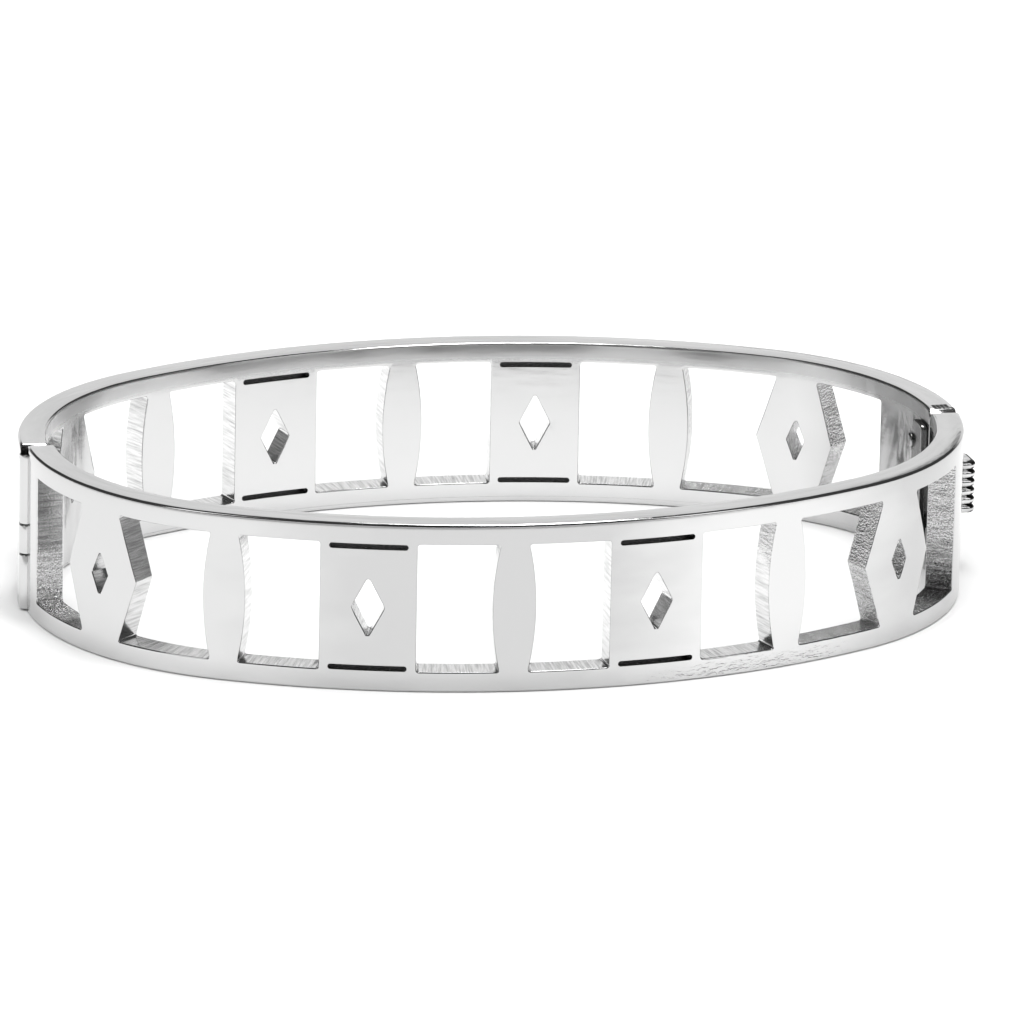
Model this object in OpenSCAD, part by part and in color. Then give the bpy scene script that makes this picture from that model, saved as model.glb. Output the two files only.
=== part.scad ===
// Hinged oval bangle of polished stainless steel, lying on its lower rim.
// Two pierced halves meet at a hinge (-X) and at a spring clasp (+X).
// The wrist goes through along Z. Millimetres, +Z up, +Y is the back half.

/* [Band] */
// Outer width from hinge to clasp
band_w = 64; // [58:0.5:72]
// Outer depth from front to back
band_d = 43.2; // [42:0.2:50]
// Height of the band
band_h = 11.5; // [10.5:0.1:13]
// Wall thickness
band_t = 1.9; // [1.7:0.05:2.2]
// Outer radius of the long sides
side_r = 47; // [44:0.5:50]
// Bevel along the four rim edges
edge = 0.12; // [0.05:0.01:0.25]

/* [Openwork] */
// Height of the plain rails above and below the windows
rail_h = 1.4; // [1:0.05:2]
// Plain wall between the clasp seam and the first window
clasp_post = 8.4; // [7.5:0.1:10]
// Plain wall between the last window and the hinge seam
hinge_post = 3.1; // [2.5:0.1:4]
// Half width of the lozenges and tablets at mid height
wide_half = 3.2; // [2.8:0.1:3.4]
// Half width of the lozenges where they meet the rails
tip_half = 1.7; // [1.2:0.1:2.2]
// Half width of the spindles at mid height
spindle_half = 1.45; // [1:0.05:1.8]
// Half width of the spindles where they meet the rails
spindle_end = 0.95; // [0.6:0.05:0.95]
// Length of the slits above and below the tablets
slit_len = 5.2; // [3:0.1:5.4]
// Height of the slits
slit_h = 0.38; // [0.25:0.01:0.5]
// Half width and half height of the hole in each lozenge
lozenge_hole = [0.75, 1.35]; // [0.5:0.05:2]
// Half width and half height of the hole in each tablet
tablet_hole = [1.1, 1.9]; // [0.5:0.05:2.2]

/* [Seams] */
// Gap between the two halves at each seam
seam = 0.14; // [0.12:0.01:0.3]
// Bevel across the rims at the hinge
hinge_bevel = 0.2; // [0.1:0.05:0.35]
// Bevel across the rims at the clasp, wide enough for a thumbnail
clasp_bevel = 0.5; // [0.3:0.05:0.7]

/* [Hinge] */
// Radius of the hinge barrel
barrel_r = 0.55; // [0.5:0.01:0.6]
// How far the barrel stands proud of the back half
barrel_out = 0.05; // [0.02:0.01:0.08]
// How far the front half is set in at the hinge
front_step = 0.4; // [0.36:0.01:0.5]
// Radius of the hinge pin
pin_r = 0.25; // [0.2:0.01:0.3]
// Radial clearance of the pin in the knuckles
pin_fit = 0.03; // [0.02:0.01:0.06]
// Height of the lower end of the barrel
barrel_low = 0.15; // [0.1:0.05:0.4]
// Plain rim left above the barrel
barrel_drop = 0.6; // [0.5:0.05:1]
// Height of the middle knuckle's lower end
knuckle_low = 4; // [3.5:0.1:4.5]
// Length of the middle knuckle
knuckle_len = 2; // [1.6:0.1:2.6]
// Gap between knuckles, along the pin and around them
knuckle_gap = 0.08; // [0.06:0.01:0.15]

/* [Clasp] */
// Height of the middle of the clasp
clasp_z = 5.75; // [5.5:0.05:6]
// Thickness of the spring tongue
tongue_t = 0.55; // [0.45:0.05:0.6]
// Height of the spring tongue
tongue_h = 4.8; // [4.4:0.1:5]
// Reach of the tongue past the seam, into the front half
tongue_reach = 2.2; // [1.8:0.1:2.6]
// Where the tongue bends, measured along the wall from the seam
tongue_root = 3.3; // [3.2:0.1:3.8]
// How far the tongue runs on past its root rivet
tongue_tail = 0.5; // [0.4:0.05:0.8]
// Outer skin left over the tongue's recess
skin_t = 0.55; // [0.45:0.05:0.65]
// Gap between the tongue and that skin, and between the thumb pad and its notch
catch_gap = 0.1; // [0.08:0.01:0.12]
// Width of the thumb pad along the wall
pad_w = 2.4; // [2:0.1:2.6]
// Height of the thumb pad
pad_h = 3.7; // [3.4:0.1:4.2]
// How far the thumb pad stands out from the wall
pad_out = 1.65; // [1.2:0.05:1.9]
// Middle of the thumb pad, measured along the wall from the seam
pad_at = 1.6; // [1.5:0.05:1.8]
// Radius of the thumb pad's corners
pad_round = 0.5; // [0.3:0.05:0.7]
// Number of ribs across the thumb pad
ribs = 6; // [4:1:7]
// Depth of the grooves between the ribs
rib_depth = 0.3; // [0.2:0.05:0.4]
// Width of those grooves at the pad's face
groove_w = 0.4; // [0.2:0.05:0.5]
// Thickness of the riveted plate inside the clasp
plate_t = 0.45; // [0.35:0.05:0.5]
// Length of that plate along the wall, without its lobes
plate_len = 2.2; // [2:0.1:2.6]
// Height of the plate's lower edge
plate_low = 1.2; // [1:0.1:1.5]
// Radius of the plate's lobe at the middle rivet
mid_lobe_r = 1; // [0.9:0.05:1.3]
// Radius of the plate's lobes at the outer rivets
lobe_r = 0.65; // [0.6:0.05:0.9]
// Where the outer rivets sit, measured along the wall from the seam
rivet_at = 2.7; // [2.5:0.1:2.9]
// Height of the lower rivet
rivet_low_z = 2.75; // [2.4:0.05:2.8]
// Height of the upper rivet
rivet_high_z = 8.75; // [8.7:0.05:9.2]
// Radius of the rivet heads
rivet_r = 0.5; // [0.4:0.05:0.55]
// Height of the rivet heads
head_h = 0.22; // [0.15:0.01:0.3]

/* [Hidden] */
half_w = band_w / 2;
half_d = band_d / 2;
front_w = half_w - front_step;      // half width of the front half on its hinge side
side_y = half_d - side_r;           // centre of the long side's arc
end_r = end_radius(half_w);         // outer radius of the rounded ends
open_h = band_h - 2 * rail_h;
eps = 1;                            // overshoot of every cutter
seat = 0.03;                        // gap between fixed pieces
blend = 0.8;                        // how far the long side's arc runs on past the end arcs
arc_fn = 360;
pin_fn = 48;
spindle_steps = 4;
lap = 0.3;                          // how far the motifs' outlines run on into the rails
hole_tip = 0.1;                     // half width of the blunt ends of the lozenge holes
pattern = ["lozenge", "spindle", "tablet", "spindle", "tablet", "spindle", "lozenge"];
hinge_x = barrel_r - barrel_out - half_w;
barrel_top = band_h - barrel_drop;
knuckle_high = knuckle_low + knuckle_len;
clasp_x = half_w - end_r;           // centre of the arc that the clasp lies on
tongue_r = end_r - skin_t - catch_gap; // outer radius of the tongue
recess_h = tongue_h + 3 * catch_gap;
recess_reach = tongue_reach + 0.4;  // the recess is deeper than the tongue at its tip
recess_root = tongue_root + tongue_tail + 0.2; // and at its root
plate_r = end_r - band_t - seat;    // outer radius of the riveted plate
plate_from = 0.5;                   // the plate starts this far from the seam
pad_turn = degrees(pad_at, end_r);
rivet_len = plate_t + 0.6;          // the outer rivets end in the wall
mid_rivet_len = plate_t + 1;        // the middle one ends in the tongue's root
mid_rivet_fit = 0.08;               // its radial gap in the tongue
// The thumb pad stands out further than the barrel, so this centres the whole bangle on the origin
pad_reach = clasp_x + (end_r + pad_out) * cos(pad_turn) + pad_w / 2 * sin(pad_turn);
shift = (half_w + barrel_out - pad_reach) / 2;

// Plan of one half: the clasp's end arc, the long side, the hinge's end arc.
// "w" is the half width on the hinge side, which differs between the halves.
function degrees(len, r) = len / r * 180 / PI;
function end_radius(w) = (pow(side_r, 2) - pow(w, 2) - pow(side_y, 2)) / (2 * (side_r - w));
function turn(w) = atan2(-side_y, w - end_radius(w));
function end_len(w) = end_radius(w) * turn(w) * PI / 180;
function side_len(w) = side_r * (180 - turn(half_w) - turn(w)) * PI / 180;
function half_len(w) = end_len(half_w) + side_len(w) + end_len(w);

// Centre, radius and direction of the outer wall at "s" along it from the clasp seam
function arc_at(s, w) =
    s <= end_len(half_w) ? [[clasp_x, 0], end_r, degrees(s, end_r)] :
    s <= half_len(w) - end_len(w) ?
        [[0, side_y], side_r, turn(half_w) + degrees(s - end_len(half_w), side_r)] :
        [[end_radius(w) - w, 0], end_radius(w), 180 - degrees(half_len(w) - s, end_radius(w))];
function wall_point(s, w, out) =
    let (a = arc_at(s, w)) a[0] + (a[1] + out) * [cos(a[2]), sin(a[2])];

// Motifs are spaced evenly between the two end posts
function motif_half(i) = pattern[i] == "spindle" ? spindle_half : wide_half;
function widths_before(i) = i == 0 ? 0 : widths_before(i - 1) + 2 * motif_half(i - 1);
function window_w(w) =
    (half_len(w) - clasp_post - hinge_post - widths_before(len(pattern))) / (len(pattern) + 1);
function motif_at(i, w) =
    clasp_post + (i + 1) * window_w(w) + widths_before(i) + motif_half(i);

// The whole bangle stands centred on the origin
module place() translate([shift, 0, 0]) children();

// Puts a flat outline on the wall: its x runs along the wall, its y is up, its extrusion points out
module on_wall(s, w) {
    a = arc_at(s, w);
    p = wall_point(s, w, 0);
    translate([p[0], p[1], 0]) rotate([0, 0, a[2]]) rotate([90, 0, 90]) children();
}

module through_wall(s, w, z)
    on_wall(s, w) translate([0, z, -band_t - eps]) linear_extrude(band_t + 2 * eps) children();

// Disc with bevelled rims, for the outside of the wall
module rim_disc(centre, r)
    translate(centre) rotate_extrude($fn = arc_fn)
        polygon([[0, 0], [r - edge, 0], [r, edge], [r, band_h - edge], [r - edge, band_h], [0, band_h]]);

// The matching hollow, flared at both rims
module rim_hollow(centre, r)
    translate(centre) rotate_extrude($fn = arc_fn)
        polygon([[0, 0], [r + edge, 0], [r, edge], [r, band_h - edge], [r + edge, band_h], [0, band_h]]);

// Everything between the two places where the long side runs into the end arcs
module side_span(w, inset) {
    from = end_radius(w) - w - (end_radius(w) - inset) * cos(turn(w)) - blend;
    to = clasp_x + (end_r - inset) * cos(turn(half_w)) + blend;
    translate([from, 0, 0]) cube([to - from, band_d, band_h]);
}

module wall(w)
    difference() {
        intersection() {
            rim_disc([0, side_y], side_r);
            union() {
                rim_disc([clasp_x, 0], end_r);
                rim_disc([end_radius(w) - w, 0], end_radius(w));
                side_span(w, 0);
            }
        }
        intersection() {
            rim_hollow([0, side_y], side_r - band_t);
            union() {
                rim_hollow([clasp_x, 0], end_r - band_t);
                rim_hollow([end_radius(w) - w, 0], end_radius(w) - band_t);
                side_span(w, band_t);
            }
        }
    }

// Takes away the other half and half the seam, with a bevel across the rims, from x "from" to x "to"
module seam_cut(from, to, bevel)
    translate([from, 0, 0]) rotate([90, 0, 90]) linear_extrude(to - from)
        polygon([[-band_d, -eps], [seam / 2 + bevel + eps, -eps], [seam / 2, bevel],
                 [seam / 2, band_h - bevel], [seam / 2 + bevel + eps, band_h + eps],
                 [-band_d, band_h + eps]]);

module lozenge(half, tip, reach)
    polygon([[-half, 0], [-tip, -reach], [tip, -reach], [half, 0], [tip, reach], [-tip, reach]]);

// Slender post that swells towards its middle, with sides of short straight steps
module spindle() {
    swell = [for (i = [-spindle_steps:spindle_steps])
        let (z = i / spindle_steps * (open_h / 2 + lap))
            [spindle_half - (spindle_half - spindle_end) * pow(2 * z / open_h, 2), z]];
    polygon([for (p = swell) p, for (i = [len(swell) - 1:-1:0]) [-swell[i][0], swell[i][1]]]);
}

// The outlines lap over the rails, so no corner of theirs falls on the edge of a rail
module motif_outline(kind) {
    if (kind == "lozenge")
        lozenge(wide_half, tip_half - lap * (wide_half - tip_half) * 2 / open_h, open_h / 2 + lap);
    if (kind == "spindle") spindle();
    if (kind == "tablet") square([2 * wide_half, open_h + 2 * lap], center = true);
}

module motif(i, w) through_wall(motif_at(i, w), w, band_h / 2) motif_outline(pattern[i]);

module window(i, w) {
    from = i == 0 ? clasp_post : motif_at(i - 1, w);
    to = i == len(pattern) ? half_len(w) - hinge_post : motif_at(i, w);
    middle = (from + to) / 2;
    difference() {
        translate([0, 0, rail_h]) linear_extrude(open_h)
            polygon([for (s = [from, middle, to]) wall_point(s, w, eps),
                     for (s = [to, middle, from]) wall_point(s, w, -band_t - eps)]);
        if (i > 0) motif(i - 1, w);
        if (i < len(pattern)) motif(i, w);
    }
}

module slit() {
    square([slit_len - slit_h, slit_h], center = true);
    for (side = [-1, 1]) translate([side * (slit_len - slit_h) / 2, 0]) circle(slit_h / 2, $fn = pin_fn);
}

// Small holes through the wide motifs
module piercings(w)
    for (i = [0:len(pattern) - 1]) {
        if (pattern[i] == "lozenge")
            through_wall(motif_at(i, w), w, band_h / 2) lozenge(lozenge_hole[0], hole_tip, lozenge_hole[1]);
        if (pattern[i] == "tablet") {
            through_wall(motif_at(i, w), w, band_h / 2) lozenge(tablet_hole[0], hole_tip, tablet_hole[1]);
            for (z = [rail_h + slit_h / 2, band_h - rail_h - slit_h / 2])
                through_wall(motif_at(i, w), w, z) slit();
        }
    }

module band_half(w)
    difference() {
        wall(w);
        seam_cut(-band_w, eps, hinge_bevel);
        seam_cut(-eps, band_w, clasp_bevel);
        for (i = [0:len(pattern)]) window(i, w);
        piercings(w);
    }

module knuckle(from, to, extra = 0)
    translate([hinge_x, 0, from]) cylinder(r = barrel_r + extra, h = to - from, $fn = pin_fn);

// Where one half's knuckle runs, widened by the running gap
module knuckle_room(from, to) knuckle(from - knuckle_gap, to + knuckle_gap, knuckle_gap);

module pin_bore()
    translate([hinge_x, 0, -eps])
        cylinder(r = pin_r + pin_fit, h = barrel_top - 2 * knuckle_gap + eps, $fn = pin_fn);

// Sector of a plain ring about the clasp arc's centre, "from" and "to" along the outer wall
module clasp_ring(r_in, r_out, z, h, from, to)
    translate([clasp_x, 0, z]) rotate([0, 0, degrees(from, end_r)])
        rotate_extrude(angle = degrees(to - from, end_r), $fn = arc_fn)
            translate([r_in, 0]) square([r_out - r_in, h]);

// Recess for the spring tongue, open to the inside and to the seam
module tongue_recess(to)
    clasp_ring(end_r - band_t - eps, end_r - skin_t, clasp_z - recess_h / 2, recess_h, -eps, to);

// Notch through the outer skin, open to the seam, that the thumb pad stands in
module pad_notch()
    clasp_ring(end_r - skin_t - catch_gap, end_r + eps, clasp_z - pad_h / 2 - catch_gap,
               pad_h + 2 * catch_gap, -eps, pad_at + pad_w / 2 + catch_gap);

// Middle of a rivet, with z pointing out of the wall from the plate's inner face
module at_rivet(s, z)
    on_wall(s, half_w) translate([0, z, -band_t - plate_t - 2 * seat]) children();

module rivet_bore(s, z, len, fit = seat)
    at_rivet(s, z) translate([0, 0, -eps])
        cylinder(r = rivet_r / 2 + fit, h = len + eps + seat, $fn = pin_fn);

// Low domed head inside the plate, on a shank half as wide
module rivet(s, z, len)
    at_rivet(s, z) rotate_extrude($fn = pin_fn)
        polygon([[0, -head_h], [rivet_r * 0.7, -head_h], [rivet_r, -head_h / 3], [rivet_r, 0],
                 [rivet_r / 2, 0], [rivet_r / 2, len], [0, len]]);

module back_half()
    color("gainsboro") place() difference() {
        union() {
            difference() {
                band_half(half_w);
                knuckle_room(knuckle_low, knuckle_high);
            }
            knuckle(barrel_low, knuckle_low - knuckle_gap);
            knuckle(knuckle_high + knuckle_gap, barrel_top);
        }
        pin_bore();
        tongue_recess(recess_root);
        pad_notch();
        rivet_bore(rivet_at, rivet_low_z, rivet_len);
        rivet_bore(rivet_at, rivet_high_z, rivet_len);
    }

module front_half()
    color("silver") place() mirror([0, 1, 0]) difference() {
        union() {
            difference() {
                band_half(front_w);
                knuckle_room(-eps, knuckle_low - knuckle_gap);
                knuckle_room(knuckle_high + knuckle_gap, barrel_top);
            }
            knuckle(knuckle_low, knuckle_high);
        }
        pin_bore();
        tongue_recess(recess_reach);
    }

module hinge_pin()
    color("gray") place() translate([hinge_x, 0, barrel_low])
        cylinder(r = pin_r, h = barrel_top - barrel_low - 3 * knuckle_gap, $fn = pin_fn);

module plate_lobe(s, z, r)
    on_wall(s, half_w) translate([0, z, -band_t - eps]) cylinder(r = r, h = eps, $fn = pin_fn);

module plate_strip()
    clasp_ring(end_r - band_t - eps, end_r - band_t, plate_low, band_h - 2 * plate_low,
               plate_from, plate_from + plate_len);

// Thin curved plate riveted over the recess, with a round lobe at each rivet
module clasp_plate()
    color("darkgray") place() difference() {
        intersection() {
            clasp_ring(plate_r - plate_t, plate_r, 0, band_h, 0, tongue_root + 2 * mid_lobe_r);
            union() {
                plate_strip();
                plate_lobe(tongue_root, clasp_z, mid_lobe_r);
                plate_lobe(rivet_at, rivet_low_z, lobe_r);
                plate_lobe(rivet_at, rivet_high_z, lobe_r);
            }
        }
        rivet_bore(rivet_at, rivet_low_z, rivet_len);
        rivet_bore(rivet_at, rivet_high_z, rivet_len);
        rivet_bore(tongue_root, clasp_z, mid_rivet_len);
    }

// Spring tongue: fixed at its root under the plate, free to bend inwards at the seam
module clasp_tongue()
    color("lightgray") place() difference() {
        clasp_ring(tongue_r - tongue_t, tongue_r, clasp_z - tongue_h / 2, tongue_h,
                   -tongue_reach, tongue_root + tongue_tail);
        rivet_bore(tongue_root, clasp_z, mid_rivet_len + tongue_t, mid_rivet_fit);
    }

module pad_outline() {
    square([pad_h - 2 * pad_round, pad_w], center = true);
    square([pad_h, pad_w - 2 * pad_round], center = true);
    for (x = [-1, 1], y = [-1, 1])
        translate([x * (pad_h / 2 - pad_round), y * (pad_w / 2 - pad_round)])
            circle(pad_round, $fn = pin_fn);
}

module pad_block()
    translate([tongue_r + seat, 0, clasp_z]) rotate([0, 90, 0])
        linear_extrude(end_r + pad_out - tongue_r - seat) pad_outline();

// V groove that runs on past the pad's face with the same slope
module rib_groove() {
    half_mouth = groove_w / 2 * (1 + eps / rib_depth);
    translate([end_r + pad_out, pad_w / 2 + eps, 0]) rotate([90, 0, 0])
        linear_extrude(pad_w + 2 * eps)
            polygon([[-rib_depth, 0], [eps, -half_mouth], [eps, half_mouth]]);
}

// Thumb pad soldered on the tongue, ribbed across
module thumb_pad()
    color("dimgray") place() translate([clasp_x, 0, 0]) rotate([0, 0, pad_turn]) difference() {
        pad_block();
        for (i = [1:ribs - 1])
            translate([0, 0, clasp_z - pad_h / 2 + i * pad_h / ribs]) rib_groove();
    }

module clasp_rivet_low() color("gray") place() rivet(rivet_at, rivet_low_z, rivet_len);

module clasp_rivet_mid() color("gray") place() rivet(tongue_root, clasp_z, mid_rivet_len);

module clasp_rivet_high() color("gray") place() rivet(rivet_at, rivet_high_z, rivet_len);

back_half();
front_half();
hinge_pin();
clasp_plate();
clasp_tongue();
thumb_pad();
clasp_rivet_low();
clasp_rivet_mid();
clasp_rivet_high();
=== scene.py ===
# Looks of a hinged oval bangle in polished stainless steel, lying on its lower rim.
# Sizes are in millimetres until a piece is finished, and then it is scaled to metres.
import math
import bpy
from mathutils import Matrix, Vector


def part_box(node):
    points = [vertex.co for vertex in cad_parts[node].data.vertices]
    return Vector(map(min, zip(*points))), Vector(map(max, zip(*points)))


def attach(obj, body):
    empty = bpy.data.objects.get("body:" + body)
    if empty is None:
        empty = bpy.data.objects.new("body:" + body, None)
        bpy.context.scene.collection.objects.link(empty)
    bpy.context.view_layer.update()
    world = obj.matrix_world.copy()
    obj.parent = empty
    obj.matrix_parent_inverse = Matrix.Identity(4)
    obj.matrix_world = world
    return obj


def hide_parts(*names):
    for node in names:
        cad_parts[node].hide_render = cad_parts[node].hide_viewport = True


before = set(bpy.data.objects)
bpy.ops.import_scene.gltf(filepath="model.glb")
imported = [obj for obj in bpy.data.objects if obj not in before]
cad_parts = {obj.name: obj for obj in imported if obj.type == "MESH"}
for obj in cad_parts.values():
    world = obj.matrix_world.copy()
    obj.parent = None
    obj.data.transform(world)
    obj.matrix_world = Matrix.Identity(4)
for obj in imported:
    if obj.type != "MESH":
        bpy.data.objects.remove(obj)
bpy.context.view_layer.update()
mm = 0.001
print("frame loaded:", len(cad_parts), "nodes")

# The band, as it is built flat before it is bent: x runs along the wall from the clasp,
# y goes into the wall from its outer face, z is up
band = {
    "width": 64.0,
    "depth": 43.2,
    "height": 11.5,
    "thickness": 1.9,
    "sideRadius": 47.0,
    "rimRound": 0.2,       # the rims are rolled over by the buffing wheel
    "edgeRound": 0.09,
    "cornerRadius": 0.2,   # left by the laser in the windows' corners
    "seamGap": 0.14,
    "hingeBevel": 0.2,
    "claspBevel": 0.5,
    "frontStep": 0.4,      # the front half is set in at the hinge
    "bendStep": 0.6,       # length of wall between two cross lines
    "pathStep": 0.1,       # between two points of the line that it is bent along
    "shadeGap": 0.1,       # from a broken edge to the line that keeps its shading to itself
}
hinge = {
    "radius": 0.55,
    "proud": 0.05,         # how far the barrel stands out of the wall
    "low": 0.15,
    "top": 10.9,
    "midLow": 4.0,
    "midHigh": 6.0,
    "gap": 0.08,
    "pinRadius": 0.25,
    "boreRadius": 0.28,
    "edgeRound": 0.06,
}
overshoot = 1.0            # how far cutters stick out of what they cut
roundSides = 48            # of a turned piece or a bore


# Plan of the oval

halfWidth = band["width"] / 2
sideCentre = band["depth"] / 2 - band["sideRadius"]
halfWidths = {"back": halfWidth, "front": halfWidth - band["frontStep"]}
hingeX = hinge["radius"] - hinge["proud"] - halfWidth
cadLow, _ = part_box("back_half")
shift = cadLow.x / mm + halfWidth + hinge["proud"]    # the clasp's thumb pad sets the oval off centre


def endRadius(w):
    r = band["sideRadius"]
    return (r ** 2 - w ** 2 - sideCentre ** 2) / (2 * (r - w))


def endTurn(w):
    return math.atan2(-sideCentre, w - endRadius(w))


def halfLength(w):
    side = band["sideRadius"] * (math.pi - endTurn(halfWidth) - endTurn(w))
    return endRadius(halfWidth) * endTurn(halfWidth) + side + endRadius(w) * endTurn(w)


# Point on the outer wall of the back half, s along it from the clasp
def wallPoint(s, w):
    endR = endRadius(halfWidth)
    claspEnd = endR * endTurn(halfWidth)
    hingeStart = halfLength(w) - endRadius(w) * endTurn(w)
    if s <= claspEnd:
        centre, r, a = (halfWidth - endR, 0), endR, s / endR
    elif s <= hingeStart:
        r = band["sideRadius"]
        centre, a = (0, sideCentre), endTurn(halfWidth) + (s - claspEnd) / r
    else:
        r = endRadius(w)
        centre, a = (r - w, 0), math.pi - (halfLength(w) - s) / r
    return Vector((centre[0] + r * math.cos(a), centre[1] + r * math.sin(a), 0))


# Materials

def hexToLinear(code):
    channels = [int(code[i:i + 2], 16) / 255 for i in (1, 3, 5)]
    return [c / 12.92 if c <= 0.04045 else ((c + 0.055) / 1.055) ** 2.4 for c in channels] + [1]


def setStops(elements, stops):
    while len(elements) < len(stops):
        elements.new(0.5)
    for element, (position, code) in zip(elements, stops):
        element.position = position
        element.color = hexToLinear(code)


# Adds a node with its settings, the stops of a colour ramp among them, and its links: a link is
# (input, source), and the source is a number, a socket, or a node whose first output is meant
def addNode(tree, kind, settings=None, links=()):
    node = tree.nodes.new(kind)
    for name, value in (settings or {}).items():
        if name == "stops":
            setStops(node.color_ramp.elements, value)
        elif name in node.inputs:
            node.inputs[name].default_value = value
        else:
            setattr(node, name, value)
    for name, source in links:
        if isinstance(source, float):
            node.inputs[name].default_value = source
        elif isinstance(source, bpy.types.NodeSocket):
            tree.links.new(source, node.inputs[name])
        else:
            tree.links.new(source.outputs[0], node.inputs[name])
    return node


# What a Math node does
times = {"operation": "MULTIPLY"}
plus = {"operation": "ADD"}
minus = {"operation": "SUBTRACT"}
larger = {"operation": "MAXIMUM"}


def newMaterial(name, settings):
    material = bpy.data.materials.new(name)
    material.use_nodes = True
    tree = material.node_tree
    tree.nodes.clear()
    shader = addNode(tree, "ShaderNodeBsdfPrincipled", settings)
    addNode(tree, "ShaderNodeOutputMaterial", None, [("Surface", shader)])
    return material, tree, shader


# Where a point lay on the flat blank, in millimetres: along the wall, into it, up
def flatPlace(tree, scale=(1, 1, 1)):
    place = addNode(tree, "ShaderNodeAttribute", {"attribute_name": "flatPlace"})
    return addNode(tree, "ShaderNodeMapping", {"Scale": scale}, [("Vector", place.outputs["Vector"])])


# Noise from 0 to 1, whose grain is given as grains per millimetre along the wall, into it and up
def grain(tree, scale, detail=2.0, distortion=0.0):
    noise = addNode(tree, "ShaderNodeTexNoise", {"Scale": 1.0, "Detail": detail, "Distortion": distortion},
                    [("Vector", flatPlace(tree, scale))])
    return noise.outputs["Fac"]


# Share of a stretch of the flat blank, along one of its axes
def shareOf(tree, axis, low, high):
    parts = addNode(tree, "ShaderNodeSeparateXYZ", None, [("Vector", flatPlace(tree))])
    share = addNode(tree, "ShaderNodeMapRange", {"From Min": low, "From Max": high},
                    [("Value", parts.outputs[axis])])
    return share.outputs["Result"]


# 0 at the clasp's seam, 1 at the hinge's, wandering a little with a noise
def alongWall(tree, wander=0.0):
    clouds = addNode(tree, "ShaderNodeMath", times, [(0, grain(tree, (0.12, 0.3, 0.3), 3.0)), (1, wander)])
    share = shareOf(tree, "X", 0.0, halfLength(halfWidth))
    return addNode(tree, "ShaderNodeMath", plus, [(0, share), (1, clouds)])


# Falls away towards an edge like the crown of a buffed face, for a bump's height
def crown(tree, axis, start, edge, fall):
    share = shareOf(tree, axis, start, edge)
    square = addNode(tree, "ShaderNodeMath", times, [(0, share), (1, share)])
    return addNode(tree, "ShaderNodeMath", times, [(0, square), (1, -fall)])


# Gives a finish its colour, and a relief so many millimetres deep
def setFinish(tree, shader, tint, relief, strength, depth):
    bump = addNode(tree, "ShaderNodeBump", {"Strength": strength, "Distance": depth * mm},
                   [("Height", relief)])
    tree.links.new(tint.outputs["Color"], shader.inputs["Base Color"])
    tree.links.new(bump.outputs["Normal"], shader.inputs["Normal"])


# Stainless steel 316L, buffed to a mirror: lighter and darker clouds of colour along the wall, painted
# reflection of the floor, and fine scuffs along the lower rim, where it has been laid down
def polishedSteel():
    material, tree, shader = newMaterial("polishedSteel", {"Metallic": 1.0})
    # painted reflection: these stops lighten and darken the wall along its length
    stops = [(0.24, "#BEBEBE"), (0.35, "#D6D6D6"), (0.44, "#D6D6D6"), (0.54, "#BCBCBC"), (0.72, "#BCBCBC"),
             (0.82, "#CACACA")]
    tint = addNode(tree, "ShaderNodeValToRGB", {"stops": stops}, [("Fac", alongWall(tree, 0.14))])
    rough = addNode(tree, "ShaderNodeMapRange", {"To Min": 0.06, "To Max": 0.16},
                    [("Value", grain(tree, (0.15, 0.5, 0.3), 3.0))])
    tree.links.new(rough.outputs["Result"], shader.inputs["Roughness"])
    stops = [(0.26, "#000000"), (0.33, "#FFFFFF"), (0.42, "#FFFFFF"), (0.5, "#000000")]
    scuffed = addNode(tree, "ShaderNodeValToRGB", {"stops": stops}, [("Fac", alongWall(tree, 0.1))])
    low = addNode(tree, "ShaderNodeMath", times, [(0, shareOf(tree, "Z", 1.5, 0.3)), (1, scuffed)])
    scuffs = addNode(tree, "ShaderNodeMath", times, [(0, grain(tree, (2.0, 2.0, 5.0), 3.0, 0.8)), (1, low)])
    # buffing lines are about 0.02 mm apart, too fine to show, so they are drawn at 0.1 mm
    lines = addNode(tree, "ShaderNodeMath", times, [(0, grain(tree, (0.6, 5.0, 10.0))), (1, 0.006)])
    falls = crown(tree, "Z", band["height"] - 0.75, band["height"] - 0.2, 0.45)
    relief = addNode(tree, "ShaderNodeMath", plus, [(0, lines), (1, scuffs)])
    relief = addNode(tree, "ShaderNodeMath", plus, [(0, relief), (1, falls)])
    setFinish(tree, shader, tint, relief, 1.0, 0.1)
    return material


# The rims are buffed by hand: a mirror that is not quite flat, and falls off to its edges
def buffedRim():
    material, tree, shader = newMaterial("buffedRim", {"Metallic": 1.0, "Roughness": 0.1})
    tint = addNode(tree, "ShaderNodeValToRGB", {"stops": [(0.3, "#C6C6C6"), (0.7, "#D4D4D4")]},
                   [("Fac", grain(tree, (0.1, 0.6, 1.0), 3.0))])
    waves = addNode(tree, "ShaderNodeMath", times, [(0, grain(tree, (0.22, 0.9, 0.9), 3.0, 0.4)), (1, 0.9)])
    stops = [(0.24, "#FFFFFF"), (0.36, "#9A9A9A"), (0.5, "#7A7A7A")]
    amount = addNode(tree, "ShaderNodeValToRGB", {"stops": stops}, [("Fac", alongWall(tree))])
    outer = addNode(tree, "ShaderNodeMath", times, [(0, crown(tree, "Y", 0.95, 0.08, 1.35)), (1, amount)])
    inner = crown(tree, "Y", band["thickness"] - 0.6, band["thickness"] - 0.2, 0.3)
    falls = addNode(tree, "ShaderNodeMath", plus, [(0, outer), (1, inner)])
    relief = addNode(tree, "ShaderNodeMath", plus, [(0, waves), (1, falls)])
    setFinish(tree, shader, tint, relief, 1.0, 0.08)
    return material


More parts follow.
